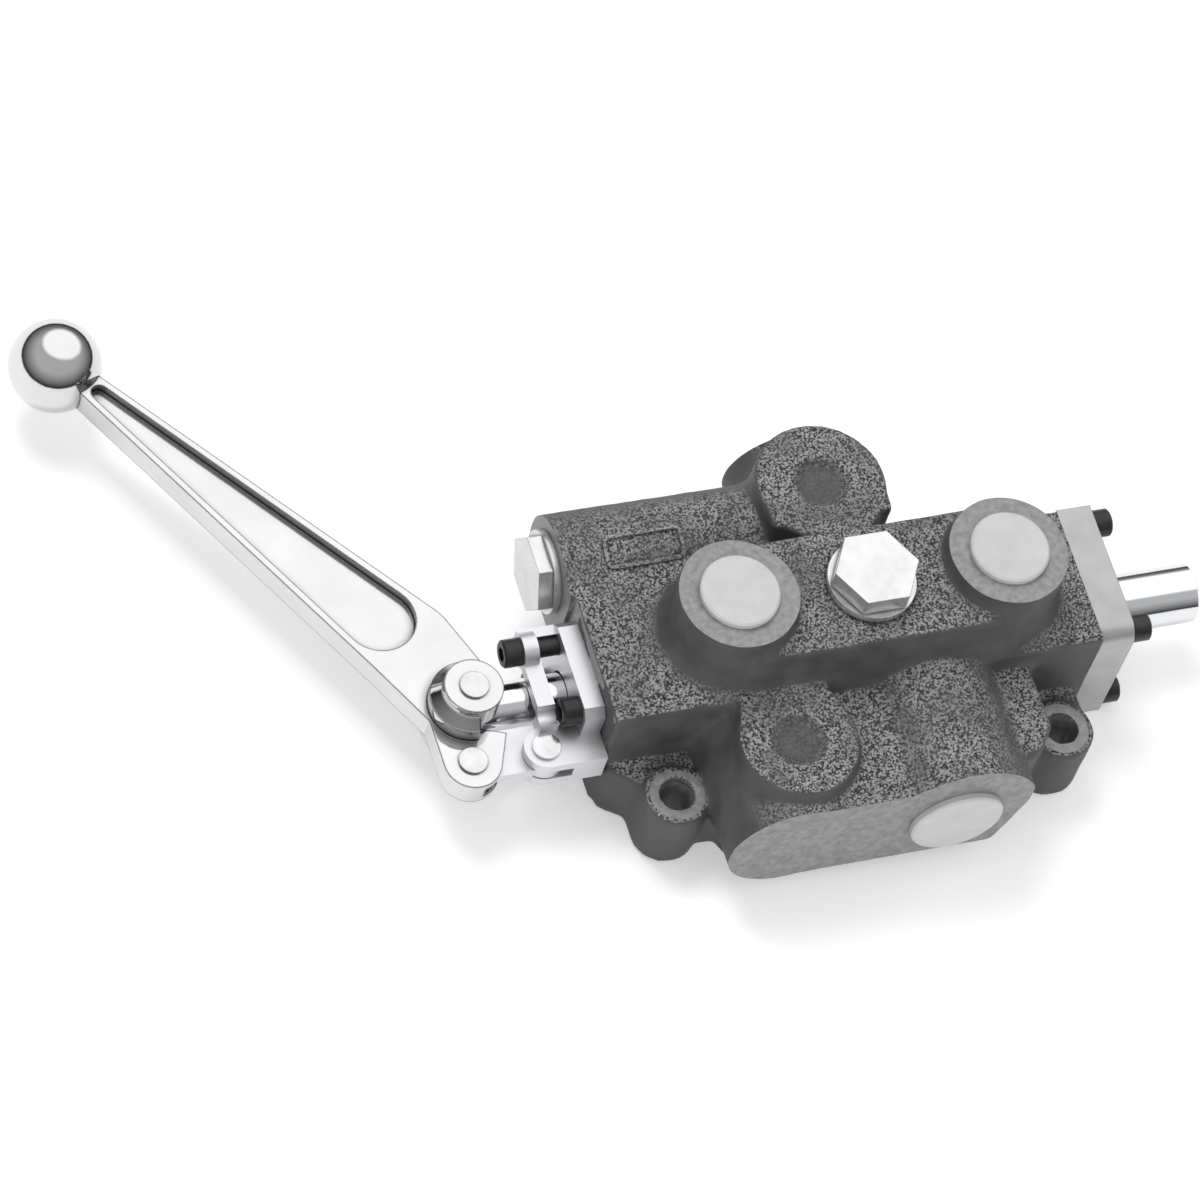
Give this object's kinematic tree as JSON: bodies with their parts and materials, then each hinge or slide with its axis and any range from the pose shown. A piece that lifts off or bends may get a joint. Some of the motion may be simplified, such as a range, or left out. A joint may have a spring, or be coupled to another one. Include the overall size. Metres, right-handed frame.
{
  "type": "single spool control valve",
  "caption": "Directional control valve: cast body with work ports on top, inlet and outlet at its sides, and a hand lever that slides a spring-centred spool.",
  "frame": {"origin": "on the flat mounting face, below the spool's axis, midway between the two work ports", "axes": "+Z out of the work ports, square to the mounting face; +X along the spool towards the spring cap; +Y towards the inlet, -Y towards the outlet"},
  "size_m": [0.3744, 0.2394, 0.08],
  "materials": {
    "cast_iron": "rough sand cast, dark grey",
    "plate_aluminium": "fine ground",
    "bright_steel": "polished",
    "chrome": "polished plating",
    "satin_steel": "bright plated",
    "pin_steel": "ground",
    "spring_steel": "drawn wire",
    "plated_steel": "light zinc plating",
    "black_steel": "black oxide",
    "light_plastic": "light grey, matt",
    "rubber": "matt black"
  },
  "bodies": {
    "housing": {"valve_body": "cast_iron", "end_plate": "plate_aluminium", "end_plate_screws": "black_steel", "spring_cap": "bright_steel", "spool_seal_left": "rubber", "spool_seal_right": "rubber", "rod_wiper": "rubber", "handle_bracket": "satin_steel", "bracket_screws": "black_steel", "bracket_long_screw": "black_steel", "bracket_pin": "pin_steel", "bracket_clip": "black_steel", "check_plug": "plated_steel", "check_plug_seal": "rubber", "check_spring": "spring_steel", "relief_plug": "plated_steel", "relief_plug_seal": "rubber", "relief_spring": "spring_steel", "relief_seat": "pin_steel", "centring_spring_inner": "spring_steel", "centring_spring_outer": "spring_steel"},
    "spool": {"spool": "bright_steel", "spring_collar": "pin_steel", "collar_nut": "pin_steel"},
    "handle": {"lever": "chrome", "clevis_pin": "pin_steel", "link_pin": "pin_steel", "lever_clips": "black_steel"},
    "link": {"link": "satin_steel"},
    "check_poppet": {"check_poppet": "pin_steel"},
    "relief_poppet": {"relief_poppet": "pin_steel"},
    "work_plug_a": {"work_plug_a": "light_plastic"},
    "work_plug_b": {"work_plug_b": "light_plastic"},
    "outlet_plug": {"outlet_plug": "light_plastic"},
    "inlet_plug": {"inlet_plug": "light_plastic"}
  },
  "joints": [
    {"name": "spool_slide", "type": "slide", "parent": "housing", "child": "spool", "axis": [1, 0, 0], "range_m": [-0.006, 0.006], "stiffness_N_per_m": 12000, "deforming": ["centring_spring_inner", "centring_spring_outer"]},
    {"name": "handle_swing", "type": "hinge", "parent": "spool", "child": "handle", "pos_m": [-0.132, 0, 0.026], "axis": [0, 0, 1], "range_deg": [-16.5, 16.5]},
    {"name": "link_swing", "type": "hinge", "parent": "housing", "child": "link", "pos_m": [-0.111, -0.0206, 0.026], "axis": [0, 0, 1], "range_deg": [-3, 3]},
    {"name": "check_lift", "type": "slide", "parent": "housing", "child": "check_poppet", "axis": [0, 0, 1], "range_m": [0, 0.003], "stiffness_N_per_m": 400, "springref_m": -0.002, "deforming": ["check_spring"]},
    {"name": "relief_lift", "type": "slide", "parent": "housing", "child": "relief_poppet", "axis": [-1, 0, 0], "range_m": [0, 0.002], "stiffness_N_per_m": 9000, "springref_m": -0.001, "deforming": ["relief_spring"]},
    {"name": "work_plug_a_pull", "type": "slide", "parent": "housing", "child": "work_plug_a", "axis": [0, 0, 1], "range_m": [0, 0.06]},
    {"name": "work_plug_b_pull", "type": "slide", "parent": "housing", "child": "work_plug_b", "axis": [0, 0, 1], "range_m": [0, 0.06]},
    {"name": "outlet_plug_pull", "type": "slide", "parent": "housing", "child": "outlet_plug", "axis": [0, -1, 0], "range_m": [0, 0.06]},
    {"name": "inlet_plug_pull", "type": "slide", "parent": "housing", "child": "inlet_plug", "axis": [0, 1, 0], "range_m": [0, 0.06]}
  ],
  "couplings": [
    {"joint": "handle_swing", "follows": "spool_slide", "rad_per_m": -47.228},
    {"joint": "link_swing", "follows": "spool_slide", "rad_per_m": -7.7175}
  ]
}
